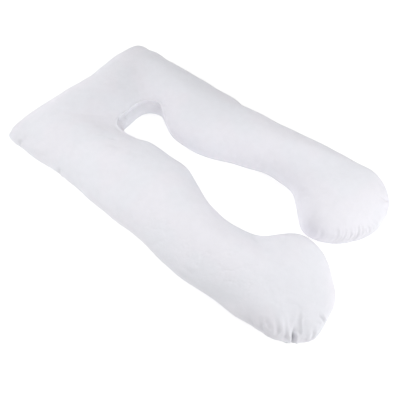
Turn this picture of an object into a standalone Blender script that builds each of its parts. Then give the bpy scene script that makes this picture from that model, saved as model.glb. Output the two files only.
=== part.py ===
"""A U-shaped body pillow of plain white cotton, filled and sewn all round its rim. Metres, +Z up.

It lies on its back, with its head end at +Y and its two feet at -Y. The origin is under the middle
of the box that holds it. One closed form is lofted along the U, from the tip of one foot round the
head to the tip of the other. Each section across it has a crown above its widest line, the rim,
and below the rim a belly that is flat where it lies on the surface.
"""

import bmesh
import bpy
import numpy as np

# Driving sizes
WIDTH = 0.80
LENGTH = 1.40
THICKNESS = 0.18
RIM_HEIGHT = 0.085

# Form of a section: a power of 2 makes an ellipse, and a higher one a squarer crown. The underside
# would bulge to SAG times the rim's height if the surface didn't flatten it.
CROWN_POWER = 2.1
SAG = 1.35

# Resolution
STEPS_PER_ROW = 3
RING_POINTS = 36

# One row for each section of the +X leg, from the foot's tip to the middle of the head. The rim's
# outer and inner points are shares of half the width and half the length, and fullness is a share
# of the thickness. The leans, shares of half the width, are how far the rim's outer and inner
# points lie towards +X on both legs, because the stuffing is uneven.
SECTION_COLUMNS = (
    "name", "outer_x", "outer_y", "inner_x", "inner_y", "fullness", "outer_lean", "inner_lean"
)
SECTIONS = (
    ("foot tip", 0.515, -1.000, 0.515, -1.000, 0.00, 0.000, 0.000),
    ("toe", 0.690, -0.990, 0.345, -0.981, 0.42, 0.005, 0.000),
    ("ball", 0.822, -0.937, 0.207, -0.925, 0.74, 0.008, 0.000),
    ("instep", 0.900, -0.857, 0.095, -0.846, 0.93, 0.006, -0.002),
    ("foot", 0.920, -0.753, 0.045, -0.746, 1.00, 0.000, -0.004),
    ("heel", 0.928, -0.674, 0.105, -0.674, 0.99, 0.000, 0.005),
    ("ankle", 0.934, -0.589, 0.285, -0.581, 0.96, -0.006, 0.016),
    ("calf", 0.936, -0.474, 0.350, -0.467, 0.93, -0.016, 0.020),
    ("belly", 0.940, -0.331, 0.341, -0.339, 0.93, -0.019, 0.019),
    ("waist", 0.934, -0.174, 0.245, -0.174, 0.95, -0.017, 0.012),
    ("ribs", 0.931, -0.017, 0.139, -0.024, 0.98, -0.015, 0.008),
    ("chest", 0.945, 0.111, 0.117, 0.111, 1.00, -0.007, -0.006),
    ("shoulder", 0.953, 0.240, 0.130, 0.226, 1.00, -0.002, -0.003),
    ("neck", 0.946, 0.376, 0.200, 0.333, 0.99, 0.003, 0.015),
    ("nape", 0.953, 0.526, 0.236, 0.404, 0.98, 0.006, 0.045),
    ("ear", 0.973, 0.690, 0.218, 0.458, 0.96, 0.003, 0.044),
    ("temple", 0.993, 0.857, 0.170, 0.488, 0.94, -0.003, 0.040),
    ("corner", 0.960, 0.972, 0.122, 0.500, 0.93, -0.006, 0.034),
    ("brow", 0.780, 0.998, 0.080, 0.505, 0.94, 0.000, 0.030),
    ("crown", 0.390, 0.990, 0.040, 0.507, 0.95, 0.000, 0.028),
    ("head middle", 0.000, 0.978, 0.000, 0.507, 0.95, 0.000, 0.028),
)

# Soft dents that the upper side shows. Places are shares as above, long and short are the dent's
# half lengths in metres, turn is its long way's angle from +X in degrees, and depth is in metres.
DENT_COLUMNS = ("name", "x", "y", "long", "short", "turn", "depth")
DENTS = (
    ("near head corner", -0.90, 0.90, 0.130, 0.090, 135.0, 0.020),
    ("far head corner", 0.90, 0.90, 0.130, 0.090, 45.0, 0.020),
    ("pinch on the near foot", -0.75, -0.90, 0.080, 0.032, 52.0, 0.014),
    ("gather on the near foot", -0.83, -0.79, 0.070, 0.030, 30.0, 0.008),
    ("crease at the near heel", -0.42, -0.63, 0.080, 0.032, 63.0, 0.007),
)

CLOTH_COLOUR = (0.86, 0.86, 0.88, 1.0)
CLOTH_ROUGHNESS = 0.9


def clear_scene():
    for thing in list(bpy.data.objects):
        bpy.data.objects.remove(thing, do_unlink=True)


def column(name):
    return np.array([row[SECTION_COLUMNS.index(name)] for row in SECTIONS], float)


def round_the_u(values):
    """From one foot's tip round the head to the other's, out of a leg's values."""
    return np.concatenate([values, values[-2::-1]])


def smooth_loop(values):
    """A Catmull-Rom curve through a closed loop of values, with STEPS_PER_ROW points for each."""
    before, here = np.roll(values, 1, axis=0), values
    after, beyond = np.roll(values, -1, axis=0), np.roll(values, -2, axis=0)
    shape = (1, STEPS_PER_ROW) + (1,) * (values.ndim - 1)
    t = (np.arange(STEPS_PER_ROW) / STEPS_PER_ROW).reshape(shape)
    before, here, after, beyond = (v[:, None] for v in (before, here, after, beyond))
    linear = (after - before) * t
    square = (2 * before - 5 * here + 4 * after - beyond) * t**2
    cube = (3 * here - before - 3 * after + beyond) * t**3
    curve = here + (linear + square + cube) / 2
    return curve.reshape((-1,) + values.shape[1:])


def rim_points(edge):
    """The rim's "outer" or "inner" point for each row, round the U, in shares."""
    side = np.concatenate([np.ones(len(SECTIONS)), -np.ones(len(SECTIONS) - 1)])
    x = round_the_u(column(edge + "_x")) * side + round_the_u(column(edge + "_lean"))
    return np.stack([x, round_the_u(column(edge + "_y"))], axis=1)


def rim():
    """The rim's outer and inner points for each section, filling WIDTH by LENGTH."""
    outer, inner = rim_points("outer"), rim_points("inner")
    loop = smooth_loop(np.concatenate([outer, inner[-2:0:-1]]))
    low, high = loop.min(axis=0), loop.max(axis=0)
    loop = (loop - (low + high) / 2) * (WIDTH, LENGTH) / (high - low)
    count = (len(outer) - 1) * STEPS_PER_ROW + 1
    back = -np.arange(count) % len(loop)
    return loop[:count], loop[back]


def fullness(count):
    """Each section's share of the thickness. It passes through nothing at the feet's tips."""
    share = round_the_u(column("fullness"))
    share = smooth_loop(np.concatenate([share, -share[-2:0:-1]]))[:count]
    return share / share.max()


def dented(points, crown):
    """Lowers the upper side by each dent, a bell curve along its two ways, fading at the rim."""
    for row in DENTS:
        dent = dict(zip(DENT_COLUMNS, row))
        turn = np.radians(dent["turn"])
        x = points[..., 0] - dent["x"] * WIDTH / 2
        y = points[..., 1] - dent["y"] * LENGTH / 2
        along = (x * np.cos(turn) + y * np.sin(turn)) / dent["long"]
        across = (y * np.cos(turn) - x * np.sin(turn)) / dent["short"]
        points[..., 2] -= dent["depth"] * np.exp(-(along**2) - across**2) * np.clip(crown, 0, 1)
    return points


def section_rings():
    """A ring of points for each section: a superellipse, cut flat at the surface."""
    outer, inner = rim()
    full = fullness(len(outer))[:, None]
    angle = 2 * np.pi * np.arange(RING_POINTS) / RING_POINTS
    across = np.sign(np.cos(angle)) * np.abs(np.cos(angle)) ** (2 / CROWN_POWER)
    rise = np.sign(np.sin(angle)) * np.abs(np.sin(angle)) ** (2 / CROWN_POWER)
    middle, half = (outer + inner) / 2, (outer - inner) / 2
    plan = middle[:, None] + half[:, None] * across[None, :, None]
    crown = full * rise
    above = RIM_HEIGHT + (THICKNESS - RIM_HEIGHT) * crown
    below = np.maximum(RIM_HEIGHT * (1 + SAG * crown), 0)
    height = np.where(crown > 0, above, below)
    return dented(np.concatenate([plan, height[..., None]], axis=2), crown)


def make_pillow():
    rings = section_rings()
    form = bmesh.new()
    tips = [form.verts.new(rings[i].mean(axis=0)) for i in (0, -1)]
    loops = [[form.verts.new(point) for point in ring] for ring in rings[1:-1]]
    for near, far in zip(loops[:-1], loops[1:]):
        for i in range(RING_POINTS):
            form.faces.new((near[i - 1], near[i], far[i], far[i - 1]))
    for tip, ring in zip(tips, (loops[0], loops[-1])):
        for i in range(RING_POINTS):
            form.faces.new((tip, ring[i - 1], ring[i]))
    bmesh.ops.recalc_face_normals(form, faces=form.faces)
    mesh = bpy.data.meshes.new("body_pillow")
    form.to_mesh(mesh)
    form.free()
    mesh.shade_smooth()
    pillow = bpy.data.objects.new("body_pillow", mesh)
    bpy.context.scene.collection.objects.link(pillow)
    return pillow


def cotton():
    material = bpy.data.materials.new("white_cotton")
    material.use_nodes = True
    shader = material.node_tree.nodes["Principled BSDF"]
    shader.inputs["Base Color"].default_value = CLOTH_COLOUR
    shader.inputs["Roughness"].default_value = CLOTH_ROUGHNESS
    shader.inputs["Metallic"].default_value = 0.0
    return material


clear_scene()
make_pillow().data.materials.append(cotton())
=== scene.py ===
"""The looks of a U-shaped body pillow: a plain white cotton cover, softly filled, on a pale floor.

The cover is one closed grid of points. The grid's first way runs along the U, from the tip of the
foot at +X round the head to the tip of the foot at -X. Its second way runs round each section: from
the outer seam over the top to the inner seam, and back underneath. Everything that the cloth does,
its gathers, creases and lumps, is a sum of soft bumps and troughs along the cloth's own normals.
"""

import bpy
import numpy as np
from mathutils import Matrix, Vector


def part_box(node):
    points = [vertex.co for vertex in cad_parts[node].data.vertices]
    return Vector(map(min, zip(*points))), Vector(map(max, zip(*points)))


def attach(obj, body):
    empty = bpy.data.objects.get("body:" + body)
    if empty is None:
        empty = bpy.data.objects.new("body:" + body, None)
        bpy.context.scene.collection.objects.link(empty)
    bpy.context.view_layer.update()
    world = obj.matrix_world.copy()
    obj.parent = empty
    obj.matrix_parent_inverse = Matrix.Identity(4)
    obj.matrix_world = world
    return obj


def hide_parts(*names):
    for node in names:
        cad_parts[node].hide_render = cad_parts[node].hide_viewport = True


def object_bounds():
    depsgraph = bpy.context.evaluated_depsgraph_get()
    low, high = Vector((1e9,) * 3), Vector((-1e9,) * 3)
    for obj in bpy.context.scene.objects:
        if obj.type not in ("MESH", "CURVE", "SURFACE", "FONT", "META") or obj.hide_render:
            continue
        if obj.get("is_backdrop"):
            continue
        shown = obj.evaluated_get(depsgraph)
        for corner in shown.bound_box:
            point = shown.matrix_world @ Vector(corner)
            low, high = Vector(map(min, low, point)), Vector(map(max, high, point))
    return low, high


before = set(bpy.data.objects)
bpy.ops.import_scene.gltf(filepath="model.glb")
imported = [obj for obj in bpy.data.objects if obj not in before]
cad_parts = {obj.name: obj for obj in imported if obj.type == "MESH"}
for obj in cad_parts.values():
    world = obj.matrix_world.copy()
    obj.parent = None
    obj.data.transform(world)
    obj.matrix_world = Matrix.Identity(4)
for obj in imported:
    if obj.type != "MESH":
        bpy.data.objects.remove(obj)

CAD_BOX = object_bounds()
NODE = "body_pillow"

# Driving sizes, in metres
LOW, HIGH = (np.array(corner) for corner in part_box(NODE))
WIDTH, LENGTH, THICKNESS = HIGH - LOW
RIM_HEIGHT = 0.085

# Form of a section: a power of 2 makes an ellipse, a higher one a squarer crown and a lower one a
# leaner edge. Above the rim's outer side each section has its own power, and elsewhere it is
# SIDE_POWER. The underside would bulge to SAG times the rim's height if the floor didn't flatten it.
SIDE_POWER = 2.1
SAG = 1.35

# Points round each section of the finished cover. The simulated cloth has half as many each way.
TOP_POINTS = 88
UNDER_POINTS = 68
DENSER_AT_SEAM = 0.55

# One row for each section of the +X leg, from the foot's tip to the middle of the head. The rim's
# outer and inner points are shares of half the width and half the length, and fullness is a share
# of the thickness. The leans, shares of half the width, are how far the rim's outer and inner
# points lie towards +X on both legs. The powers are those of the crown's outer and inner sides. The
# seams are degrees above the rim round the section, and the gathers say how much cloth is gathered
# into each seam there, from 0 to 1. Steps is how many steps the grid takes to the next row.
SECTION_COLUMNS = (
    "name", "outer_x", "outer_y", "inner_x", "inner_y", "fullness", "outer_lean", "inner_lean",
    "outer_power", "inner_power", "outer_seam", "inner_seam", "outer_gather", "inner_gather", "steps",
)
SECTIONS = (
    ("foot tip", 0.515, -1.000, 0.515, -1.000, 0.00, 0.000, 0.000, 2.30, 2.30, -14, -14, 0.5, 0.6, 20),
    ("toe", 0.690, -0.990, 0.345, -0.981, 0.42, 0.005, 0.000, 2.30, 2.30, -2, -16, 0.9, 0.9, 22),
    ("ball", 0.817, -0.926, 0.207, -0.925, 0.74, 0.008, 0.000, 2.65, 2.30, 9, -16, 1.0, 1.0, 22),
    ("instep", 0.888, -0.849, 0.095, -0.846, 0.93, 0.006, -0.002, 2.85, 2.30, 12, -16, 1.0, 1.0, 20),
    ("foot", 0.905, -0.753, 0.045, -0.746, 1.00, 0.000, -0.004, 2.85, 2.25, 8, -16, 0.9, 0.6, 16),
    ("heel", 0.917, -0.674, 0.105, -0.674, 0.99, 0.000, 0.005, 2.65, 2.15, -3, -16, 0.6, 0.3, 14),
    ("ankle", 0.923, -0.589, 0.285, -0.581, 0.96, -0.006, 0.016, 2.25, 2.00, -12, -15, 0.4, 0.2, 12),
    ("calf", 0.931, -0.474, 0.350, -0.467, 0.93, -0.016, 0.020, 1.95, 1.90, -18, -14, 0.3, 0.2, 12),
    ("belly", 0.940, -0.331, 0.341, -0.339, 0.93, -0.019, 0.019, 1.76, 1.85, -18, -14, 0.2, 0.2, 12),
    ("waist", 0.934, -0.174, 0.245, -0.174, 0.95, -0.017, 0.012, 1.74, 1.80, -18, -14, 0.2, 0.2, 12),
    ("ribs", 0.931, -0.017, 0.139, -0.024, 0.98, -0.015, 0.008, 1.72, 1.85, -18, -13, 0.2, 0.2, 12),
    ("chest", 0.945, 0.111, 0.117, 0.111, 1.00, -0.007, -0.006, 1.70, 1.85, -18, -10, 0.3, 0.3, 12),
    ("shoulder", 0.953, 0.240, 0.130, 0.226, 1.00, -0.002, -0.003, 1.68, 1.85, -18, 2, 0.3, 0.4, 12),
    ("neck", 0.946, 0.376, 0.200, 0.333, 0.99, 0.003, 0.015, 1.68, 1.75, -18, 16, 0.4, 0.6, 16),
    ("nape", 0.953, 0.526, 0.236, 0.404, 0.98, 0.006, 0.045, 1.70, 1.60, -18, 23, 0.4, 0.8, 16),
    ("ear", 0.973, 0.690, 0.218, 0.458, 0.96, 0.003, 0.044, 1.76, 1.55, -18, 25, 0.5, 0.9, 16),
    ("temple", 0.993, 0.857, 0.170, 0.488, 0.94, -0.003, 0.040, 1.95, 1.55, -16, 25, 0.8, 0.9, 16),
    ("corner", 0.960, 0.972, 0.122, 0.500, 0.93, -0.006, 0.034, 2.18, 1.55, -12, 25, 1.0, 0.9, 16),
    ("brow", 0.780, 0.998, 0.080, 0.505, 0.94, 0.000, 0.030, 2.18, 1.55, -10, 25, 0.5, 0.9, 16),
    ("crown", 0.390, 0.990, 0.040, 0.507, 0.95, 0.000, 0.028, 2.10, 1.55, -10, 25, 0.3, 0.9, 16),
    ("head middle", 0.000, 0.978, 0.000, 0.507, 0.95, 0.000, 0.028, 2.05, 1.55, -10, 25, 0.3, 0.9, 0),
)

# Soft dents that the upper side shows. Places are shares as above, long and short are the dent's
# half lengths in metres, turn is its long way's angle from +X in degrees, and depth is in metres.
DENT_COLUMNS = ("name", "x", "y", "long", "short", "turn", "depth")
DENTS = (
    ("near head corner", -0.90, 0.90, 0.130, 0.090, 135.0, 0.020),
    ("far head corner", 0.90, 0.90, 0.130, 0.090, 45.0, 0.020),
    ("pinch on the near foot", -0.75, -0.90, 0.080, 0.032, 52.0, 0.014),
    ("gather on the near foot", -0.83, -0.79, 0.070, 0.030, 30.0, 0.008),
    ("crease at the near heel", -0.42, -0.63, 0.080, 0.032, 63.0, 0.007),
)

# The cloth's simulation. It starts START_SMALLER inside the form, uneven by START_UNEVEN, and points
# lower than LYING_BELOW lie still, all in metres. An excess is the share by which the cloth is cut
# longer than the form, on top and at the seams. Its moves are averaged FINE_TIMES, less what is left
# of them after BROAD_TIMES, and made bolder by FOLD_GAIN. RIM_TAPER from the seam they are whole.
CLOTH_FRAMES = 20
CLOTH_QUALITY = 5
CLOTH_PRESSURE = 2.0
CLOTH_MASS = 0.3
CLOTH_STIFFNESS = 15.0
CLOTH_BENDING = 0.1
CLOTH_SEED = 5
START_SMALLER = 0.006
START_UNEVEN = 0.0004
TOP_EXCESS = 0.01
SEAM_EXCESS = 0.12
EXCESS_REACH = 0.04
LYING_BELOW = 0.001
FINE_TIMES = 3
BROAD_TIMES = 12
FOLD_GAIN = 1.4
RIM_SHARE = 0.35
RIM_TAPER = 0.05
MOST_MOVED = 0.008

# Numbers for the arithmetic alone
BLOCK = 8000
TINY = 1e-9

# The sewn rim: a raised line where the two panels meet, with a groove under it. Both are bolder by
# RIDGE_GAIN where cloth is gathered in. Places and reaches are distances from the seam, in metres.
RIDGE_HEIGHT = 0.0024
RIDGE_REACH = 0.0040
GROOVE_DEPTH = 0.0018
GROOVE_PLACE = 0.0090
GROOVE_REACH = 0.0045
RIDGE_GAIN = 1.3

# How much of a row's gathers each of the four seams has. Near is the leg at -X, and far the other.
# Round the head, HEAD_SHARE of the U to both sides of its middle, each seam has all of them.
SEAM_SHARES = {"far outer": 0.6, "near outer": 1.0, "near inner": 0.45, "far inner": 1.0}
HEAD_SHARE = 0.22

# The gathers along the seams. Width, length and depth are drawn between the two values, in metres.
# Each one's place is drawn up to GATHER_SHIFT of a pitch to both sides, its slant by GATHER_SLANT,
# and its length under the seam between the shares UNDER_LENGTHS of that above. Where no cloth is
# gathered in it keeps the first of LENGTH_SHARES of its length, and where all is, the second too.
GATHER_SHIFT = 0.42
GATHER_SLANT = 0.2
UNDER_LENGTHS = (0.5, 1.1)
LENGTH_SHARES = (0.45, 0.7)
GATHER_COLUMNS = ("name", "pitch", "width", "length", "depth", "seed")
GATHERS = (
    ("puckers", 0.011, (0.0030, 0.0048), (0.014, 0.036), (0.0005, 0.0015), 7),
    ("folds", 0.024, (0.0042, 0.0062), (0.035, 0.080), (0.0007, 0.0020), 11),
)

# At the seam itself a trough keeps SEAM_HOLD of its depth, and SEAM_TAPER away it has all of it.
# Between its troughs the cloth stands GATHER_SWELL of their depth higher. Where the seam is this many
# degrees above the rim, the panel over it is drawn smooth, and keeps the share given for it, and the
# one under it is gathered deeper by the share given.
SEAM_HOLD = 0.25
SEAM_TAPER = 0.012
GATHER_SWELL = 0.15
SMOOTH_OVER = ((13.0, 25.0), (1.0, 0.25))
DEEPER_UNDER = ((13.0, 25.0), (1.0, 1.8))

# Creases: each starts deep at x, y, next to a seam or a hollow, and runs out at to_x, to_y. Bow is
# how far its middle stands to its left, lip is the share of its depth by which its sides rise, and
# below is the share of it that goes on under the seam. All lengths are in metres.
CREASE_COLUMNS = ("name", "x", "y", "to_x", "to_y", "bow", "width", "depth", "lip", "below")
CREASES = (
    ("near foot, pinch", -0.325, -0.648, -0.280, -0.616, 0.003, 0.0052, 0.0120, 0.30, 1.0),
    ("near foot, long fold", -0.304, -0.645, -0.243, -0.606, 0.004, 0.0050, 0.0034, 0.60, 0.2),
    ("near foot, fold 2", -0.334, -0.622, -0.296, -0.576, -0.003, 0.0048, 0.0034, 0.50, 0.1),
    ("near foot, fold 3", -0.318, -0.628, -0.276, -0.585, 0.002, 0.0048, 0.0021, 0.50, 0.1),
    ("near foot, fold 4", -0.340, -0.596, -0.305, -0.552, -0.003, 0.0048, 0.0035, 0.50, 0.1),
    ("near foot, fold 5", -0.342, -0.574, -0.316, -0.533, 0.003, 0.0048, 0.0029, 0.50, 0.1),
    ("near foot, fold 6", -0.358, -0.562, -0.336, -0.528, -0.002, 0.0048, 0.0032, 0.50, 0.1),
    ("near foot, fold 7", -0.361, -0.532, -0.347, -0.497, 0.002, 0.0048, 0.0028, 0.50, 0.1),
    ("near foot, nick", -0.363, -0.576, -0.345, -0.566, 0.000, 0.0056, 0.0052, 0.20, 0.4),
    ("near foot, nick 2", -0.371, -0.507, -0.352, -0.503, 0.000, 0.0052, 0.0040, 0.20, 0.4),
    ("near foot, nick 3", -0.340, -0.620, -0.330, -0.595, 0.000, 0.0052, 0.0036, 0.20, 0.3),
    ("near foot, curl", -0.229, -0.684, -0.216, -0.656, 0.005, 0.0045, 0.0070, 0.50, 0.3),
    ("near foot, tuck", -0.281, -0.687, -0.260, -0.665, 0.002, 0.0060, 0.0026, 0.60, 0.3),
    ("near leg, wrinkle", -0.358, -0.318, -0.363, -0.253, 0.004, 0.0070, 0.0030, 0.40, 0.0),
    ("near leg, wrinkle 2", -0.374, -0.308, -0.379, -0.253, 0.003, 0.0060, 0.0026, 0.40, 0.0),
    ("near heel, crease", -0.147, -0.386, -0.180, -0.438, 0.005, 0.0080, 0.0032, 0.40, 0.0),
    ("near heel, crease 2", -0.134, -0.409, -0.153, -0.448, 0.003, 0.0070, 0.0022, 0.40, 0.0),
    ("far foot, fold", 0.021, -0.516, 0.040, -0.506, 0.001, 0.0036, 0.0009, 0.50, 0.5),
    ("far foot, fold 2", 0.019, -0.534, 0.042, -0.524, 0.001, 0.0036, 0.0009, 0.50, 0.5),
    ("far foot, nick", 0.025, -0.556, 0.036, -0.536, 0.001, 0.0046, 0.0028, 0.30, 0.3),
    ("far foot, fold 4", 0.031, -0.570, 0.058, -0.522, 0.002, 0.0036, 0.0012, 0.50, 0.5),
    ("far foot, fold 5", 0.038, -0.587, 0.068, -0.535, -0.002, 0.0036, 0.0014, 0.50, 0.5),
    ("far foot, fold 6", 0.046, -0.602, 0.082, -0.542, 0.002, 0.0036, 0.0024, 0.50, 0.5),
    ("far foot, fold 7", 0.060, -0.621, 0.086, -0.568, -0.002, 0.0036, 0.0025, 0.50, 0.5),
    ("far foot, fold 8", 0.076, -0.637, 0.088, -0.589, 0.001, 0.0036, 0.0023, 0.50, 0.5),
    ("far foot, nick 2", 0.096, -0.657, 0.112, -0.616, 0.001, 0.0042, 0.0036, 0.30, 0.3),
    ("far foot, fold 11", 0.108, -0.664, 0.122, -0.617, -0.001, 0.0036, 0.0020, 0.50, 0.5),
    ("far foot, fold 12", 0.136, -0.683, 0.130, -0.643, 0.002, 0.0036, 0.0027, 0.40, 0.5),
    ("far foot, fold 13", 0.165, -0.691, 0.155, -0.644, 0.002, 0.0036, 0.0020, 0.40, 0.5),
    ("far foot, fold 14", 0.020, -0.525, 0.043, -0.514, 0.001, 0.0034, 0.0009, 0.50, 0.5),
    ("far foot, fold 15", 0.028, -0.563, 0.048, -0.528, 0.001, 0.0034, 0.0009, 0.50, 0.5),
    ("far foot, fold 16", 0.035, -0.579, 0.063, -0.536, -0.001, 0.0034, 0.0009, 0.50, 0.5),
    ("far foot, fold 17", 0.042, -0.595, 0.070, -0.548, 0.001, 0.0034, 0.0018, 0.50, 0.5),
    ("far foot, fold 18", 0.053, -0.612, 0.080, -0.564, -0.001, 0.0034, 0.0015, 0.50, 0.5),
    ("far foot, fold 19", 0.068, -0.629, 0.087, -0.588, 0.001, 0.0034, 0.0018, 0.50, 0.5),
    ("far foot, fold 20", 0.086, -0.647, 0.099, -0.600, -0.001, 0.0034, 0.0015, 0.50, 0.5),
    ("far foot, fold 21", 0.122, -0.674, 0.128, -0.636, 0.001, 0.0034, 0.0017, 0.50, 0.5),
    ("far foot, fold 22", 0.150, -0.688, 0.145, -0.652, 0.001, 0.0034, 0.0016, 0.50, 0.5),
    ("far foot, end crease", 0.266, -0.673, 0.238, -0.614, 0.006, 0.0060, 0.0050, 0.50, 0.3),
    ("far foot, end crease 2", 0.290, -0.643, 0.287, -0.590, -0.004, 0.0050, 0.0048, 0.60, 0.3),
    ("far foot, end crease 3", 0.234, -0.683, 0.215, -0.654, 0.003, 0.0070, 0.0024, 0.40, 0.3),
    ("far heel, crease", 0.124, -0.403, 0.111, -0.452, 0.003, 0.0050, 0.0030, 0.50, 0.0),
    ("far heel, crease 2", 0.103, -0.435, 0.097, -0.468, 0.003, 0.0050, 0.0026, 0.50, 0.0),
    ("near corner, fold", -0.395, 0.606, -0.355, 0.530, 0.006, 0.0130, 0.0038, 0.40, 0.1),
    ("near corner, fold 2", -0.385, 0.500, -0.332, 0.385, -0.008, 0.0120, 0.0024, 0.40, 0.0),
    ("near corner, nick", -0.400, 0.608, -0.382, 0.580, 0.000, 0.0060, 0.0065, 0.30, 1.0),
    ("near side, nick", -0.384, 0.366, -0.366, 0.345, 0.002, 0.0050, 0.0085, 0.30, 1.0),
    ("hole's end, crease", -0.150, 0.242, -0.170, 0.312, 0.004, 0.0100, 0.0034, 0.40, 0.0),
    ("hole's end, crease 2", -0.160, 0.305, -0.218, 0.336, 0.004, 0.0060, 0.0028, 0.50, 0.0),
    ("hole's end, crease 3", -0.180, 0.186, -0.245, 0.285, -0.010, 0.0110, 0.0032, 0.30, 0.0),
    ("hole's end, crease 4", -0.156, 0.228, -0.190, 0.166, -0.004, 0.0060, 0.0018, 0.60, 0.0),
    ("near shoulder, wrinkle", -0.276, 0.130, -0.329, 0.085, 0.003, 0.0060, 0.0014, 0.60, 0.0),
    ("near shoulder, wrinkle 2", -0.246, 0.115, -0.303, 0.068, -0.004, 0.0060, 0.0014, 0.60, 0.0),
    ("near shoulder, wrinkle 3", -0.153, 0.166, -0.210, 0.118, 0.003, 0.0055, 0.0018, 0.60, 0.0),
    ("near shoulder, wrinkle 4", -0.148, 0.146, -0.208, 0.088, 0.003, 0.0055, 0.0016, 0.60, 0.0),
    ("near shoulder, wrinkle 5", -0.282, 0.214, -0.334, 0.186, 0.004, 0.0070, 0.0018, 0.60, 0.0),
    ("near shoulder, wrinkle 6", -0.294, 0.170, -0.335, 0.147, -0.003, 0.0060, 0.0014, 0.60, 0.0),
    ("hole's far side, fold", 0.110, 0.292, 0.122, 0.240, 0.003, 0.0055, 0.0024, 0.50, 0.5),
    ("hole's far side, fold 2", 0.092, 0.236, 0.100, 0.190, -0.002, 0.0055, 0.0022, 0.50, 0.5),
    ("hole's far side, fold 3", 0.064, 0.190, 0.074, 0.143, 0.002, 0.0055, 0.0022, 0.50, 0.5),
)

# Hollows of the upper side, and bumps where the depth is below nothing. Long and short are the half
# lengths, and turn is the long way's angle from +X in degrees. Lengths are in metres.
HOLLOW_COLUMNS = ("name", "x", "y", "long", "short", "turn", "depth")
HOLLOWS = (
    ("inside the near corner", -0.360, 0.545, 0.065, 0.028, 95.0, 0.0090),
    ("point of the near corner", -0.392, 0.654, 0.034, 0.016, 128.0, -0.0090),
    ("dip on the head", -0.020, 0.545, 0.030, 0.024, 0.0, 0.0022),
    ("dip on the head 2", 0.140, 0.516, 0.026, 0.022, 0.0, 0.0018),
    ("dip on the head 3", 0.096, 0.425, 0.034, 0.022, 20.0, 0.0024),
    ("dip over the hole", 0.000, 0.418, 0.050, 0.022, 10.0, 0.0040),
    ("dip beside the hole", -0.110, 0.380, 0.080, 0.036, 60.0, 0.0080),
    ("dip at the hole's end", -0.158, 0.262, 0.040, 0.026, 90.0, 0.0060),
    ("far shoulder", 0.300, 0.290, 0.090, 0.034, 85.0, 0.0030),
    ("far leg, bump", 0.157, -0.216, 0.014, 0.012, 0.0, -0.0034),
    ("far leg, bump 2", 0.155, -0.250, 0.016, 0.012, 0.0, -0.0038),
    ("far leg, bump 3", 0.175, -0.287, 0.013, 0.012, 0.0, -0.0032),
    ("far leg, dip", 0.192, -0.120, 0.100, 0.026, 95.0, 0.0020),
    ("near foot, plump side", -0.318, -0.520, 0.130, 0.034, 68.0, -0.0060),
    ("far foot, plump side", 0.052, -0.522, 0.070, 0.030, 62.0, -0.0055),
    ("near leg, full by the hole", -0.078, 0.160, 0.055, 0.024, 88.0, -0.0090),
    ("over the far ankle", 0.240, -0.450, 0.050, 0.018, 45.0, 0.0020),
    ("over the near heel", -0.165, -0.425, 0.050, 0.026, 60.0, 0.0030),
    ("near leg, low", -0.366, -0.400, 0.060, 0.020, 95.0, 0.0050),
)

# How far a gather may reach from the seam, and where a crease's lips rise, in widths from its middle
GATHER_REACH = 0.090
LIP_PLACE = 1.9

# A crease that doesn't go on under the seam also fades over this share of it at its start
OPEN_SHARE = 0.3

# How fast the cloth's features fade over the seam, and near the floor
OVER_SEAM = 0.008
OFF_FLOOR = 0.02

# The depth of a trough that counts as fully hollow in the shade painted into the cover's colour
FULL_HOLLOW = 0.005

# The lumps that loose filling makes: broad soft waves
LUMP_WAVES = 24
LUMP_LENGTHS = (0.10, 0.32)
LUMP_HEIGHT = 0.0017
LUMP_SEED = 3

# The cotton's finish. Scales are per metre, and depths and pitches in metres. Mottle is the range of
# its fine greys. Shade is painted in: the lower panel, between the two distances from its seam, and
# the hollows go down to these shares of the top's white. A highlight is painted on the seam's edge,
# which is lighter by the share given, fading out over the distance given.
COOL_WHITE = (0.838, 0.841, 0.887, 1.0)
VIOLET_WHITE = (0.849, 0.839, 0.886, 1.0)
PATCH_SCALE = 6.0
MOTTLE_SCALE = 38.0
MOTTLE = (0.980, 1.0)
LOWER_PANEL_PAINTED_SHADE = 0.90
LOWER_REACH = (0.002, 0.022)
SEAM_PAINTED_HIGHLIGHT = (1.045, 0.0050)
HOLLOW_PAINTED_SHADE = 0.93
THREAD = 0.0007
WEAVE_DEPTH = 0.00005
CRINKLE_SCALE = 42.0
CRINKLE_DEPTH = 0.0016
CREASE_SCALE = 16.0
CREASE_DEPTH = 0.0004
STITCH = 0.0030
STITCH_PLACE = 0.0045
STITCH_REACH = 0.0009
STITCH_DEPTH = 0.0005
ROUGHNESS = (0.92, 0.82)
SPECULAR = 0.3
SHEEN = 0.12
SHEEN_ROUGHNESS = 0.5

# The parts of a noise's or a wave's range over which patches, mottle, creases and pricks show
PATCH_RANGE = (0.40, 0.60)
MOTTLE_RANGE = (0.30, 0.70)
CREASE_RANGE = (0.0, 0.09)
PRICK_RANGE = (0.2, 0.9)

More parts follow.
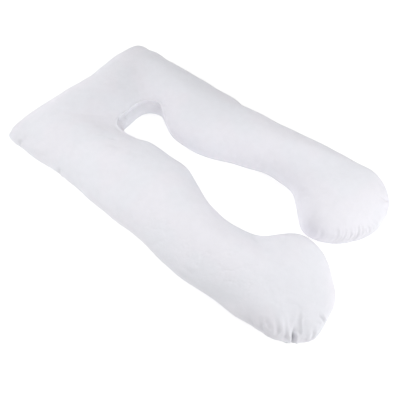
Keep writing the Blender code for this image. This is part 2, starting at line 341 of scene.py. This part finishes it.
# The studio. The floor glows by the first amount up to the first distance from its middle, and by
# the second from the second on. The walls round it glow by the first amount at floor level, and by
# the second from the given height on, as the sine of the angle above the floor.
FLOOR_SIZE = 14.0
FLOOR_HEIGHT = -0.0004
FLOOR_COLOUR = (0.50, 0.50, 0.50, 1.0)
FLOOR_GLOW = ((0.7, 1.5), (0.64, 0.98))
WHITE = (1.0, 1.0, 1.0, 1.0)
WALL_GLOW = ((0.0, 0.50), (0.40, 0.03))
RANGE_ENDS = ("From Min", "From Max", "To Min", "To Max")
LIGHT_COLUMNS = ("name", "aim_x", "aim_y", "azimuth", "elevation", "distance", "size", "power")
LIGHTS = (
    ("low, beyond the feet", 0.0, 0.0, 0.0, 20.0, 2.6, 1.6, 20.1),
    ("low, beyond the far foot", 0.0, 0.0, 45.0, 20.0, 2.6, 1.6, 3.9),
    ("low, beyond the far head corner", 0.0, 0.0, 135.0, 20.0, 2.6, 1.6, 10.2),
    ("low, beyond the head", 0.0, 0.0, 180.0, 20.0, 2.6, 1.6, 13.8),
    ("low, beyond the near head corner", 0.0, 0.0, 225.0, 20.0, 2.6, 1.6, 13.6),
    ("over the feet", 0.0, -0.60, 0.0, 74.0, 1.46, 0.8, 4.5),
    ("over the far foot", 0.30, -0.54, 30.0, 72.0, 1.36, 0.8, 6.1),
    ("over the near leg", -0.54, 0.06, 264.0, 72.0, 1.16, 0.8, 6.1),
    ("over the head", 0.0, 0.60, 180.0, 73.0, 1.36, 0.8, 4.3),
)
LIGHT_AIM_HEIGHT = 0.1

# The camera, whose azimuth and elevation are seen from the aim
CAMERA_AIM = (-0.1242, -0.1429, 0.08)
CAMERA_AZIMUTH = -50.8
CAMERA_ELEVATION = 60.3
CAMERA_DISTANCE = 1.074
CAMERA_LENS = 25.93
CAMERA_SENSOR = 36.0


def column(name):
    """One column of the sections' table, as an array."""
    return np.array([row[SECTION_COLUMNS.index(name)] for row in SECTIONS], float)


def round_the_u(values):
    """From one foot's tip round the head to the other's, out of a leg's values."""
    return np.concatenate([values, values[-2::-1]])


def smooth_loop(values, places):
    """A Catmull-Rom curve through a closed loop of values, at places counted in values: between two
    of them it is the cubic that passes through both, with slopes of half the difference of their
    neighbours."""
    here = np.floor(places).astype(int)
    t = (places - here).reshape((-1,) + (1,) * (values.ndim - 1))
    before, start, end, after = (values[(here + k) % len(values)] for k in (-1, 0, 1, 2))
    linear = (end - before) * t
    square = (2 * before - 5 * start + 4 * end - after) * t**2
    cube = (3 * start - before - 3 * end + after) * t**3
    return start + (linear + square + cube) / 2


def section_places():
    """Where the sections lie round the U, counted in rows. Each row's steps are even."""
    steps = column("steps").astype(int)[:-1]
    steps = np.concatenate([steps, steps[::-1]])
    stretches = [row + np.arange(count) / count for row, count in enumerate(steps)]
    return np.concatenate(stretches + [[len(steps)]])


def rim_points(edge):
    """The rim's "outer" or "inner" point for each row, round the U, in shares."""
    side = np.concatenate([np.ones(len(SECTIONS)), -np.ones(len(SECTIONS) - 1)])
    x = round_the_u(column(edge + "_x")) * side + round_the_u(column(edge + "_lean"))
    return np.stack([x, round_the_u(column(edge + "_y"))], axis=1)


def rim(places):
    """The rim's outer and inner points for each section, filling WIDTH by LENGTH."""
    outer, inner = rim_points("outer"), rim_points("inner")
    loop = np.concatenate([outer, inner[-2:0:-1]])
    outer, inner = smooth_loop(loop, places), smooth_loop(loop, -places)
    both = np.concatenate([outer, inner])
    low, high = both.min(axis=0), both.max(axis=0)
    scale = (WIDTH, LENGTH) / (high - low)
    return (outer - (low + high) / 2) * scale, (inner - (low + high) / 2) * scale


def along_the_u(name, places, through_tips=1.0):
    """A column's value for each section. Past a foot's tip it goes on times through_tips."""
    values = round_the_u(column(name))
    return smooth_loop(np.concatenate([values, through_tips * values[-2:0:-1]]), places)


def denser_ends(count):
    """Shares from 0 up to 1, u - k sin(2 pi u) / (2 pi), which lie closer together at both ends."""
    u = np.arange(count) / count
    return u - DENSER_AT_SEAM * np.sin(2 * np.pi * u) / (2 * np.pi)


def ring_angles(places, top, under):
    """Each point's angle round its section, which is 0 at the outer rim and 90 degrees on top. The
    outer seam is the ring's first point, and the inner seam is point number top."""
    outer = np.radians(along_the_u("outer_seam", places))[:, None]
    inner = np.pi - np.radians(along_the_u("inner_seam", places))[:, None]
    over = outer + (inner - outer) * denser_ends(top)
    back = inner + (outer + 2 * np.pi - inner) * denser_ends(under)
    return np.concatenate([over, back], axis=1)


def bell_at(points, spot):
    """A bell round a spot in plan, as long as its long way and as broad as its short one."""
    turn = np.radians(spot["turn"])
    x, y = points[..., 0] - spot["x"], points[..., 1] - spot["y"]
    along = (x * np.cos(turn) + y * np.sin(turn)) / spot["long"]
    across = (y * np.cos(turn) - x * np.sin(turn)) / spot["short"]
    return np.exp(-(along**2) - across**2)


def dented(points, crown):
    """Lowers the upper side by each dent's bell, fading at the rim."""
    for row in DENTS:
        dent = dict(zip(DENT_COLUMNS, row))
        spot = dict(dent, x=dent["x"] * WIDTH / 2, y=dent["y"] * LENGTH / 2)
        points[..., 2] -= dent["depth"] * bell_at(points, spot) * np.clip(crown, 0, 1)
    return points


def form(places, top, under):
    """The pillow's form as a grid of sections by ring points. A section is a superellipse: across it
    goes as cos(angle) and up as sin(angle), both to 2 over its power, cut flat at the floor."""
    outer, inner = rim(places)
    full = along_the_u("fullness", places, through_tips=-1.0)
    full = full[:, None] / full.max()
    angle = ring_angles(places, top, under)
    powers = [along_the_u(side + "_power", places)[:, None] for side in ("outer", "inner")]
    power = np.where(np.cos(angle) > 0, *powers)
    power = np.where(np.sin(angle) > 0, power, SIDE_POWER)
    across = np.sign(np.cos(angle)) * np.abs(np.cos(angle)) ** (2 / power)
    rise = np.sign(np.sin(angle)) * np.abs(np.sin(angle)) ** (2 / power)
    middle, half = (outer + inner) / 2, (outer - inner) / 2
    plan = middle[:, None] + half[:, None] * across[..., None]
    crown = full * rise
    above = RIM_HEIGHT + (THICKNESS - RIM_HEIGHT) * crown
    below = np.maximum(RIM_HEIGHT * (1 + SAG * crown), 0)
    height = np.where(crown > 0, above, below)
    return dented(np.concatenate([plan, height[..., None]], axis=2), crown)


def ravelled(grid):
    """A grid's vertices in the mesh's order: the two tips, then each section's ring."""
    tips = grid[[0, -1]].mean(axis=1)
    return np.concatenate([tips, grid[1:-1].reshape(-1, grid.shape[-1])])


def grid_of(vertices, rows, around):
    """The other way round: the vertices as a grid, each tip repeated for its whole ring."""
    inside = vertices[2:].reshape(rows - 2, around, -1)
    tips = np.repeat(vertices[:2, None], around, axis=1)
    return np.concatenate([tips[:1], inside, tips[1:]])


def cover_mesh(name, grid):
    """A closed mesh over the grid, with its faces pointing out and a fan of triangles at each tip."""
    rows, around = grid.shape[:2]
    ring = 2 + np.arange((rows - 2) * around).reshape(rows - 2, around)
    turned = np.roll(ring, -1, axis=1)
    quads = np.stack([ring[:-1], ring[1:], turned[1:], turned[:-1]], axis=-1).reshape(-1, 4)
    first = np.stack([np.zeros(around, int), ring[0], turned[0]], axis=-1)
    last = np.stack([ring[-1], np.ones(around, int), turned[-1]], axis=-1)
    faces = quads.tolist() + first.tolist() + last.tolist()
    mesh = bpy.data.meshes.new(name)
    mesh.from_pydata(ravelled(grid).tolist(), [], faces)
    mesh.update()
    return mesh


def vertex_values(mesh, what):
    """The mesh's "co" or "normal" for each vertex."""
    values = np.empty(len(mesh.vertices) * 3, np.float32)
    mesh.vertices.foreach_get(what, values)
    return values.reshape(-1, 3).astype(float)


def moved_vertices(mesh, points):
    """Puts the mesh's vertices at the points."""
    mesh.vertices.foreach_set("co", points.astype(np.float32).ravel())
    mesh.update()


def seam_line(grid, top):
    """The whole seam as one closed line: up the outer side, and back along the inner one."""
    return np.concatenate([grid[:, 0], grid[-2:0:-1, top]])


def lengths_round(line):
    """Each step's length along a closed line."""
    return np.linalg.norm(np.roll(line, -1, axis=0) - line, axis=1)


def seam_places(points, line):
    """Each point's place along the seam, and its distance from it. The nearest of the line's own
    points is found first, and then the foot of the normal on the tangent there."""
    ahead, behind = np.roll(line, -1, axis=0), np.roll(line, 1, axis=0)
    run = np.cumsum(lengths_round(line)) - lengths_round(line)
    tangent = (ahead - behind) / np.linalg.norm(ahead - behind, axis=1, keepdims=True)
    size = (line**2).sum(axis=1)
    blocks = np.array_split(points, 1 + len(points) // BLOCK)
    nearest = np.concatenate([np.argmin(size - 2 * block @ line.T, axis=1) for block in blocks])
    gap = points - line[nearest]
    slide = (gap * tangent[nearest]).sum(axis=1)
    away = np.linalg.norm(gap - slide[:, None] * tangent[nearest], axis=1)
    return run[nearest] + slide, away


def at_seam(outer, inner, place, line):
    """Values given for each section's outer and inner seam, at places along the whole seam."""
    run = np.cumsum(lengths_round(line)) - lengths_round(line)
    return np.interp(place, run, np.concatenate([outer, inner[-2:0:-1]]))


def gathered(place, line, places):
    """How much cloth is gathered into the seam at a place along it, from 0 to 1."""
    far = np.arange(len(places)) < len(places) / 2
    head = np.abs(places / places[-1] - 0.5) < HEAD_SHARE
    outer, inner = (
        np.where(head, 1.0, np.where(far, SEAM_SHARES["far " + side], SEAM_SHARES["near " + side]))
        for side in ("outer", "inner")
    )
    outer = outer * along_the_u("outer_gather", places)
    inner = inner * along_the_u("inner_gather", places)
    return at_seam(outer, inner, place, line)


def cut_fuller(grid, normals, places, top):
    """The cloth's rest shape, which has more length along the U than the form does, most at the
    seams: each other section stands out and the next one in, so that the cloth has to gather."""
    rows, around = grid.shape[:2]
    line = seam_line(grid, top)
    place, away = seam_places(grid.reshape(-1, 3), line)
    excess = SEAM_EXCESS * gathered(place, line, places) * np.exp(-((away / EXCESS_REACH) ** 2))
    excess = TOP_EXCESS + excess.reshape(rows, around)
    between = np.linalg.norm(np.gradient(grid, axis=0), axis=-1)
    swing = between * np.sqrt((1 + excess) ** 2 - 1) / 2
    other_way = np.where(np.arange(rows) % 2 == 0, 1.0, -1.0)[:, None]
    return grid + normals * (swing * other_way)[..., None]


def broad(grid, times):
    """The grid's values without their short waves: each is averaged with its neighbours, times over."""
    for _ in range(times):
        grid = (2 * grid + np.roll(grid, 1, axis=1) + np.roll(grid, -1, axis=1)) / 4
        ends = np.concatenate([grid[:1], grid, grid[-1:]])
        grid = (2 * grid + ends[:-2] + ends[2:]) / 4
    return grid


def settled_folds():
    """The folds that the filled cloth settles into on the coarse grid, as how far each point moves.
    Blender's cloth simulation blows the cover up. Its broad swelling is taken off again, so that the
    form stays as measured, and so is the grid's own zigzag. The seam moves by RIM_SHARE of the rest,
    and no point by more than MOST_MOVED."""
    places, top, under = section_places()[::2], TOP_POINTS // 2, UNDER_POINTS // 2
    grid = form(places, top, under)
    mesh = cover_mesh("cloth", grid)
    outwards = vertex_values(mesh, "normal")
    uneven = np.random.default_rng(CLOTH_SEED).normal(0, START_UNEVEN, (len(outwards), 1))
    start = vertex_values(mesh, "co") + (uneven - START_SMALLER) * outwards
    start[:, 2] = np.maximum(start[:, 2], 0)
    moved_vertices(mesh, start)
    cloth = bpy.data.objects.new("cloth", mesh)
    bpy.context.scene.collection.objects.link(cloth)
    cloth.shape_key_add(name="filled")
    fuller = cloth.shape_key_add(name="cut fuller")
    rest = cut_fuller(grid, grid_of(outwards, *grid.shape[:2]), places, top)
    fuller.data.foreach_set("co", ravelled(rest).astype(np.float32).ravel())
    fuller.value = 0.0
    lying = cloth.vertex_groups.new(name="lying")
    lying.add(np.flatnonzero(start[:, 2] < LYING_BELOW).tolist(), 1.0, "REPLACE")
    modifier = cloth.modifiers.new("cloth", "CLOTH")
    settings = modifier.settings
    settings.quality = CLOTH_QUALITY
    settings.mass = CLOTH_MASS
    settings.tension_stiffness = CLOTH_STIFFNESS
    settings.compression_stiffness = CLOTH_STIFFNESS
    settings.shear_stiffness = CLOTH_STIFFNESS / 3
    settings.bending_stiffness = CLOTH_BENDING
    settings.use_pressure = True
    settings.uniform_pressure_force = CLOTH_PRESSURE
    settings.rest_shape_key = fuller
    settings.vertex_group_mass = lying.name
    settings.effector_weights.gravity = 0.0
    modifier.collision_settings.use_collision = False
    modifier.point_cache.frame_start = 1
    modifier.point_cache.frame_end = CLOTH_FRAMES
    scene = bpy.context.scene
    for number in range(1, CLOTH_FRAMES + 1):
        scene.frame_set(number)
    graph = bpy.context.evaluated_depsgraph_get()
    settled = vertex_values(cloth.evaluated_get(graph).data, "co")
    scene.frame_set(1)
    bpy.data.objects.remove(cloth, do_unlink=True)
    moves = grid_of(settled, *grid.shape[:2]) - grid
    moves = FOLD_GAIN * (broad(moves, FINE_TIMES) - broad(moves, BROAD_TIMES))
    _, away = seam_places(grid.reshape(-1, 3), seam_line(grid, top))
    away = away.reshape(grid.shape[:2] + (1,))
    moves *= RIM_SHARE + (1 - RIM_SHARE) * np.clip(away / RIM_TAPER, 0, 1)
    far = np.linalg.norm(moves, axis=-1, keepdims=True)
    return moves * MOST_MOVED * np.tanh(far / MOST_MOVED) / np.maximum(far, TINY)


def doubled(grid):
    """Twice as many points each way. Each new one is (9 (b + c) - a - d) / 16 of its neighbours."""
    before, after, beyond = (np.roll(grid, shift, axis=1) for shift in (1, -1, -2))
    around = (9 * (grid + after) - before - beyond) / 16
    grid = np.stack([grid, around], axis=2).reshape(grid.shape[0], -1, grid.shape[2])
    ends = np.concatenate([grid[:1], grid, grid[-1:]])
    full = np.empty((2 * len(grid) - 1,) + grid.shape[1:])
    full[::2] = grid
    full[1::2] = (9 * (ends[1:-2] + ends[2:-1]) - ends[:-3] - ends[3:]) / 16
    return full


def seam_ridge(signed, amount):
    """A bell at the seam less a bell under it, both bolder where the amount gathered is more."""
    ridge = RIDGE_HEIGHT * np.exp(-((signed / RIDGE_REACH) ** 2))
    groove = GROOVE_DEPTH * np.exp(-(((np.abs(signed) - GROOVE_PLACE) / GROOVE_REACH) ** 2))
    groove = groove * np.where(signed > 0, 0.0, 1.0)
    return (ridge - groove) * (1 + RIDGE_GAIN * amount)


def gather_troughs(place, signed, line, places):
    """Narrow troughs across the seam, a bell across each and a soft fall to nothing along it. Their
    places, widths, lengths and depths are drawn anew for each, and signed is below 0 under the seam."""
    whole = lengths_round(line).sum()
    away = np.abs(signed)
    near = np.flatnonzero(away < GATHER_REACH)
    near = near[np.argsort(place[near])]
    height = np.zeros(len(place))
    degrees = [along_the_u(side + "_seam", places) for side in ("outer", "inner")]
    for row in GATHERS:
        kind = dict(zip(GATHER_COLUMNS, row))
        chance = np.random.default_rng(kind["seed"])
        count = int(whole / kind["pitch"])
        centres = (np.arange(count) + chance.uniform(-GATHER_SHIFT, GATHER_SHIFT, count)) * whole / count
        widths = chance.uniform(*kind["width"], count)
        above = chance.uniform(*kind["length"], count)
        under = above * chance.uniform(*UNDER_LENGTHS, count)
        depths = chance.uniform(*kind["depth"], count)
        slants = chance.normal(0, GATHER_SLANT, count)
        amount = gathered(centres, line, places)
        over = np.interp(at_seam(*degrees, centres, line), *SMOOTH_OVER)
        below = np.interp(at_seam(*degrees, centres, line), *DEEPER_UNDER)
        for k in range(count):
            margin = 4 * widths[k] + GATHER_REACH * abs(slants[k])
            ends = np.searchsorted(place[near], (centres[k] - margin, centres[k] + margin))
            some = near[ends[0] : ends[1]]
            top_side = signed[some] > 0
            length = np.where(top_side, above[k], under[k])
            length = length * (LENGTH_SHARES[0] + LENGTH_SHARES[1] * amount[k])
            along = np.clip(away[some] / length, 0, 1)
            fall = (1 - along) ** 2 * (1 + 2 * along) * np.where(top_side, over[k], below[k])
            across = (place[some] - centres[k] - slants[k] * away[some]) / (widths[k] * (1 + along / 2))
            height[some] -= amount[k] * depths[k] * fall * (np.exp(-(across**2)) - GATHER_SWELL)
    return height


def creases(points, upper, held):
    """The troughs listed in CREASES. Each follows a bent line in plan, with a bell across it and a lip
    on each of its sides, and it fades towards its far end and under the seam. The seam holds up
    those that don't go on under it."""
    height = np.zeros(len(points))
    for row in CREASES:
        crease = dict(zip(CREASE_COLUMNS, row))
        start = np.array([crease["x"], crease["y"]])
        end = np.array([crease["to_x"], crease["to_y"]])
        run = np.linalg.norm(end - start)
        ahead = (end - start) / run
        gap = points[:, :2] - start
        along = gap @ ahead / run
        inside = np.clip(along, 0, 1)
        across = gap @ (-ahead[1], ahead[0]) - crease["bow"] * 4 * inside * (1 - inside)
        across = np.abs(across) / crease["width"]
        beyond = np.abs(along - inside) * run / crease["width"]
        fade = (1 - inside**2 * (3 - 2 * inside)) * np.exp(-(beyond**2))
        if crease["below"] == 0:
            fade = fade * np.clip(inside / OPEN_SHARE, 0, 1)
        bell = np.exp(-(across**2)) - crease["lip"] * np.exp(-((across - LIP_PLACE) ** 2))
        hold = np.where(crease["below"] < 1, held, 1.0)
        height -= crease["depth"] * bell * fade * hold * (upper + crease["below"] * (1 - upper))
    return height


def hollows(points, upper):
    """The soft hollows and bumps listed in HOLLOWS, each a bell."""
    height = np.zeros(len(points))
    for row in HOLLOWS:
        hollow = dict(zip(HOLLOW_COLUMNS, row))
        height -= hollow["depth"] * bell_at(points, hollow) * upper
    return height


def lumps(points):
    """A sum of soft waves in all directions. Each has its own length, heading and start."""
    chance = np.random.default_rng(LUMP_SEED)
    height = np.zeros(len(points))
    for _ in range(LUMP_WAVES):
        heading = chance.normal(size=3)
        heading /= np.linalg.norm(heading)
        length = chance.uniform(*LUMP_LENGTHS)
        start = chance.uniform(0, 2 * np.pi)
        height += np.sin(2 * np.pi * points @ heading / length + start)
    return LUMP_HEIGHT * height / np.sqrt(LUMP_WAVES / 2)


def cloth_maps(mesh, grid, seam_place, signed):
    """Two UV maps in metres: "cloth" holds the place along the U and round the section, and "seam"
    the place along the nearest seam and the distance from it, with a whole turn added where a face
    crosses the start."""
    rows, around = grid.shape[:2]
    middle = grid[:, : grid.shape[1] // 2].mean(axis=1)
    along = np.concatenate([[0.0], np.cumsum(np.linalg.norm(np.diff(middle, axis=0), axis=1))])
    closed = np.concatenate([grid, grid[:, :1]], axis=1)
    round_it = np.cumsum(np.linalg.norm(np.diff(closed, axis=1), axis=2), axis=1)
    round_it = np.concatenate([np.zeros((rows, 1)), round_it], axis=1)
    flat = np.stack([np.broadcast_to(along[:, None], round_it.shape), round_it], axis=2)
    corners = [flat[1:-2, :-1], flat[2:-1, :-1], flat[2:-1, 1:], flat[1:-2, 1:]]
    first = [flat[0, :-1], flat[1, :-1], flat[1, 1:]]
    last = [flat[-2, :-1], flat[-1, :-1], flat[-2, 1:]]
    parts = [np.stack(part, axis=-2).reshape(-1, 2) for part in (corners, first, last)]
    values = np.concatenate(parts).astype(np.float32)
    mesh.uv_layers.new(name="cloth").data.foreach_set("uv", values.ravel())
    vertex = np.empty(len(mesh.loops), np.int32)
    mesh.loops.foreach_get("vertex_index", vertex)
    start = np.empty(len(mesh.polygons), np.int32)
    mesh.polygons.foreach_get("loop_start", start)
    place = seam_place[vertex]
    turn = seam_place.max() - seam_place.min()
    most = np.repeat(np.maximum.reduceat(place, start), np.diff(np.append(start, len(place))))
    place = place + turn * (most - place > turn / 2)
    values = np.stack([place, signed[vertex]], axis=1).astype(np.float32)
    mesh.uv_layers.new(name="seam").data.foreach_set("uv", values.ravel())


def make_cover():
    """The cover: the form with the settled folds, moved along its normals by the sum of the lumps,
    hollows, gathers, creases and the seam's ridge, which all fade to nothing at the floor."""
    places = section_places()
    grid = form(places, TOP_POINTS, UNDER_POINTS)
    grid = grid + doubled(settled_folds())
    mesh = cover_mesh("pillow_cover", grid)
    points, outwards = vertex_values(mesh, "co"), vertex_values(mesh, "normal")
    line = seam_line(grid, TOP_POINTS)
    place, away = seam_places(points, line)
    above = np.broadcast_to(np.arange(grid.shape[1]) < TOP_POINTS, grid.shape[:2])[..., None]
    signed = np.where(ravelled(above)[:, 0] > 0.5, away, -away)
    upper = np.clip(0.5 + signed / OVER_SEAM, 0, 1)
    held = SEAM_HOLD + (1 - SEAM_HOLD) * np.clip(away / SEAM_TAPER, 0, 1)
    troughs = gather_troughs(place, signed, line, places) * held + creases(points, upper, held)
    height = lumps(points) + hollows(points, upper) + troughs
    height += seam_ridge(signed, gathered(place, line, places))
    points += outwards * (height * np.clip(points[:, 2] / OFF_FLOOR, 0, 1))[:, None]
    points[:, 2] = np.maximum(points[:, 2], 0)
    moved_vertices(mesh, points)
    cloth_maps(mesh, grid, place, signed)
    # Painted shade: how deep each point lies in a trough, by which the material darkens its colour
    hollow = np.clip(-troughs / FULL_HOLLOW, 0, 1).astype(np.float32)
    mesh.attributes.new("hollow", "FLOAT", "POINT").data.foreach_set("value", hollow)
    mesh.shade_smooth()
    cover = bpy.data.objects.new("pillow_cover", mesh)
    bpy.context.scene.collection.objects.link(cover)
    return cover


def white_cotton():
    """Plain white cotton: a fine weave, soft crinkles, patches of cooler and of more violet white, shade
    painted into the hollows and onto the lower panel, a highlight painted along the seam's edge, and the
    needle's pricks beside the seam."""
    material = bpy.data.materials.new("white_cotton_cover")
    material.use_nodes = True
    tree = material.node_tree

    def add(kind, settings=(), inputs=()):
        """A node with its settings, and with its inputs set to a value or linked to an output."""
        node = tree.nodes.new("ShaderNode" + kind)
        for name, value in dict(settings).items():
            setattr(node, name, value)
        for name, value in dict(inputs).items():
            if isinstance(value, bpy.types.NodeSocket):
                tree.links.new(value, node.inputs[name])
            else:
                node.inputs[name].default_value = value
        return node

    def maths(operation, *values):
        return add("Math", {"operation": operation}, dict(enumerate(values))).outputs[0]

    def noise(vector, scale, detail, roughness=0.5):
        inputs = {"Vector": vector, "Scale": scale, "Detail": detail, "Roughness": roughness}
        return add("TexNoise", inputs=inputs).outputs["Fac"]

    def in_range(value, low, high, to_low, to_high):
        inputs = {"Value": value, "From Min": low, "From Max": high}
        inputs.update({"To Min": to_low, "To Max": to_high})
        return add("MapRange", {"interpolation_type": "SMOOTHSTEP"}, inputs).outputs["Result"]

    def blend(factor, first, second, way="MIX"):
        node = add("Mix", {"data_type": "RGBA", "blend_type": way})
        for number, value in ((0, factor), (6, first), (7, second)):
            if isinstance(value, bpy.types.NodeSocket):
                tree.links.new(value, node.inputs[number])
            else:
                node.inputs[number].default_value = value
        return node.outputs[2]

    def bumped(height, distance, strength, under=None):
        node = add("Bump", inputs={"Height": height, "Distance": distance, "Strength": strength})
        if under:
            tree.links.new(under, node.inputs["Normal"])
        return node.outputs["Normal"]

    solid = add("TexCoord").outputs["Object"]
    cloth = add("UVMap", {"uv_map": "cloth"}).outputs["UV"]
    seam = add("SeparateXYZ", inputs={0: add("UVMap", {"uv_map": "seam"}).outputs["UV"]}).outputs
    hollow = add("Attribute", {"attribute_name": "hollow"}).outputs["Fac"]

    patches = in_range(noise(solid, PATCH_SCALE, 2.0), *PATCH_RANGE, 0.0, 1.0)
    colour = blend(patches, COOL_WHITE, VIOLET_WHITE)
    mottle = in_range(noise(solid, MOTTLE_SCALE, 5.0, 0.6), *MOTTLE_RANGE, *MOTTLE)
    # Painted shade: the lower panel goes greyer below its seam
    painted_panel_shade_and_seam_highlight = in_range(seam["Y"], -LOWER_REACH[1], -LOWER_REACH[0], LOWER_PANEL_PAINTED_SHADE, 1.0)
    # Painted highlight: the cloth right at the seam goes lighter
    edge = in_range(maths("ABSOLUTE", seam["Y"]), 0.0, SEAM_PAINTED_HIGHLIGHT[1], SEAM_PAINTED_HIGHLIGHT[0], 1.0)
    painted_panel_shade_and_seam_highlight = maths("MULTIPLY", painted_panel_shade_and_seam_highlight, edge)
    # Painted shade: the troughs go greyer by their depth
    painted_hollow_shade = in_range(hollow, 0.0, 1.0, 1.0, HOLLOW_PAINTED_SHADE)
    shade = maths("MULTIPLY", maths("MULTIPLY", mottle, painted_panel_shade_and_seam_highlight), painted_hollow_shade)
    grey = add("CombineColor", inputs={0: shade, 1: shade, 2: shade}).outputs[0]
    colour = blend(1.0, colour, grey, "MULTIPLY")

    thread = add("SeparateXYZ", inputs={0: cloth}).outputs
    warp = maths("SINE", maths("MULTIPLY", thread["X"], 2 * np.pi / THREAD))
    weft = maths("SINE", maths("MULTIPLY", thread["Y"], 2 * np.pi / THREAD))
    weave = maths("MULTIPLY", warp, weft)
    crinkle = noise(solid, CRINKLE_SCALE, 4.0, 0.55)
    ridged = maths("ABSOLUTE", maths("SUBTRACT", noise(solid, CREASE_SCALE, 3.0, 0.5), 0.5))
    ridged = in_range(ridged, *CREASE_RANGE, 0.0, 1.0)
    stitch = maths("SINE", maths("MULTIPLY", seam["X"], 2 * np.pi / STITCH))
    prick = in_range(stitch, *PRICK_RANGE, 0.0, 1.0)
    beside = maths("ABSOLUTE", maths("SUBTRACT", maths("ABSOLUTE", seam["Y"]), STITCH_PLACE))
    prick = maths("MULTIPLY", prick, in_range(beside, 0.0, STITCH_REACH, 1.0, 0.0))
    normal = bumped(crinkle, CRINKLE_DEPTH, 1.0)
    normal = bumped(ridged, CREASE_DEPTH, 1.0, normal)
    normal = bumped(maths("MULTIPLY", prick, -1.0), STITCH_DEPTH, 1.0, normal)
    normal = bumped(weave, WEAVE_DEPTH, 1.0, normal)

    shader = tree.nodes["Principled BSDF"]
    tree.links.new(colour, shader.inputs["Base Color"])
    tree.links.new(normal, shader.inputs["Normal"])
    tree.links.new(in_range(weave, -1.0, 1.0, *ROUGHNESS), shader.inputs["Roughness"])
    shader.inputs["Specular IOR Level"].default_value = SPECULAR
    shader.inputs["Sheen Weight"].default_value = SHEEN
    shader.inputs["Sheen Roughness"].default_value = SHEEN_ROUGHNESS
    return material


def toward(azimuth, elevation):
    """The unit vector to a place seen from the origin: azimuth 0 is at -Y, and 90 at +X."""
    turn, lift = np.radians([azimuth, elevation])
    return Vector((np.sin(turn) * np.cos(lift), -np.cos(turn) * np.cos(lift), np.sin(lift)))


def link_facing(name, data, place, aim):
    """An object at place, with its -Z at the aim."""
    thing = bpy.data.objects.new(name, data)
    thing.location = place
    thing.rotation_euler = (Vector(aim) - Vector(place)).to_track_quat("-Z", "Y").to_euler()
    bpy.context.scene.collection.objects.link(thing)
    return thing


def make_floor():
    """A square pale floor, whose glow changes with the distance from its middle."""
    half = FLOOR_SIZE / 2
    plan = ((-half, -half), (half, -half), (half, half), (-half, half))
    corners = [(x, y, FLOOR_HEIGHT) for x, y in plan]
    mesh = bpy.data.meshes.new("floor")
    mesh.from_pydata(corners, [], [(0, 1, 2, 3)])
    floor = bpy.data.objects.new("floor", mesh)
    bpy.context.scene.collection.objects.link(floor)
    material = bpy.data.materials.new("pale_floor")
    material.use_nodes = True
    mesh.materials.append(material)
    nodes, links = material.node_tree.nodes, material.node_tree.links
    shader = nodes["Principled BSDF"]
    shader.inputs["Base Color"].default_value = FLOOR_COLOUR
    shader.inputs["Roughness"].default_value = 1.0
    shader.inputs["Specular IOR Level"].default_value = 0.0
    shader.inputs["Emission Color"].default_value = WHITE
    place = nodes.new("ShaderNodeTexCoord")
    away = nodes.new("ShaderNodeVectorMath")
    away.operation = "LENGTH"
    glow = nodes.new("ShaderNodeMapRange")
    for name, value in zip(RANGE_ENDS, FLOOR_GLOW[0] + FLOOR_GLOW[1]):
        glow.inputs[name].default_value = value
    links.new(place.outputs["Object"], away.inputs[0])
    links.new(away.outputs["Value"], glow.inputs["Value"])
    links.new(glow.outputs["Result"], shader.inputs["Emission Strength"])
    floor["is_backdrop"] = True


def make_lights():
    """The walls' glow, which changes with the height over the floor, and the square lamps."""
    world = bpy.data.worlds.new("studio")
    world.use_nodes = True
    background = world.node_tree.nodes["Background"]
    background.inputs["Color"].default_value = WHITE
    nodes, links = world.node_tree.nodes, world.node_tree.links
    upwards = nodes.new("ShaderNodeSeparateXYZ")
    glow = nodes.new("ShaderNodeMapRange")
    for name, value in zip(RANGE_ENDS, WALL_GLOW[0] + WALL_GLOW[1]):
        glow.inputs[name].default_value = value
    links.new(nodes.new("ShaderNodeTexCoord").outputs["Generated"], upwards.inputs[0])
    links.new(upwards.outputs["Z"], glow.inputs["Value"])
    links.new(glow.outputs["Result"], background.inputs["Strength"])
    bpy.context.scene.world = world
    for row in LIGHTS:
        spec = dict(zip(LIGHT_COLUMNS, row))
        data = bpy.data.lights.new(spec["name"], "AREA")
        data.shape = "SQUARE"
        data.size = spec["size"]
        data.energy = spec["power"]
        aim = Vector((spec["aim_x"], spec["aim_y"], LIGHT_AIM_HEIGHT))
        place = aim + toward(spec["azimuth"], spec["elevation"]) * spec["distance"]
        link_facing(spec["name"], data, place, aim)


def make_camera():
    """The camera at the photograph's viewing angle."""
    data = bpy.data.cameras.new("camera")
    data.sensor_width = CAMERA_SENSOR
    data.lens = CAMERA_LENS
    aim = Vector(CAMERA_AIM)
    place = aim + toward(CAMERA_AZIMUTH, CAMERA_ELEVATION) * CAMERA_DISTANCE
    bpy.context.scene.camera = link_facing("camera", data, place, aim)


make_camera()
make_lights()
make_floor()
bpy.context.scene.view_settings.view_transform = "Standard"

cover = make_cover()
cover.data.materials.append(white_cotton())
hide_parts(NODE)
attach(cover, "root")

boxes = {"cad": CAD_BOX, "visual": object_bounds()}
boxes = {name: [[float(x) for x in corner] for corner in box] for name, box in boxes.items()}
